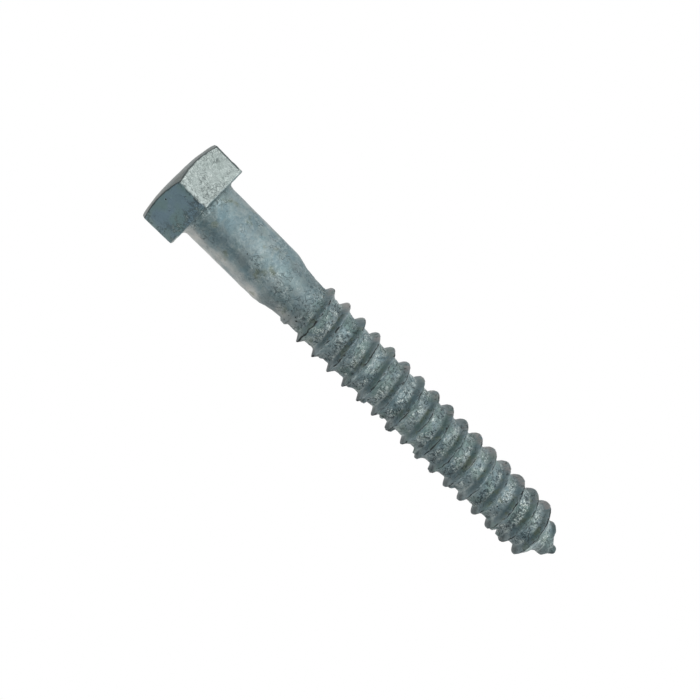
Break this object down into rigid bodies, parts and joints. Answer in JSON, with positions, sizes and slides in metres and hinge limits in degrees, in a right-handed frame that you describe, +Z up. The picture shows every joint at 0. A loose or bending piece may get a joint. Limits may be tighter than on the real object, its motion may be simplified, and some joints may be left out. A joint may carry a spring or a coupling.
{
  "type": "lag screw",
  "caption": "Hex-head lag screw with a plain shank, a coarse right-hand wood thread and a gimlet point, galvanised. Driven by a wrench into timber.",
  "frame": {"origin": "centre of the footprint on the floor the screw lies on: halfway between the crown of the head and the end of the point, on the mid-plane, at the floor", "axes": "+X along the floor toward the point, +Z up, +Y completes the right-handed frame. The screw lies on the under-head edge of one hex flat and on its last full thread crest, so its own axis dips 1.96 degrees toward the point"},
  "size_m": [0.1084, 0.0218, 0.0192],
  "materials": {
    "zinc_coated_steel": "hot-dip galvanised: matte blue-grey zinc with a mottled spangle, lumps and small pits"
  },
  "bodies": {
    "root": {"lag_screw": "zinc_coated_steel"}
  },
  "joints": []
}
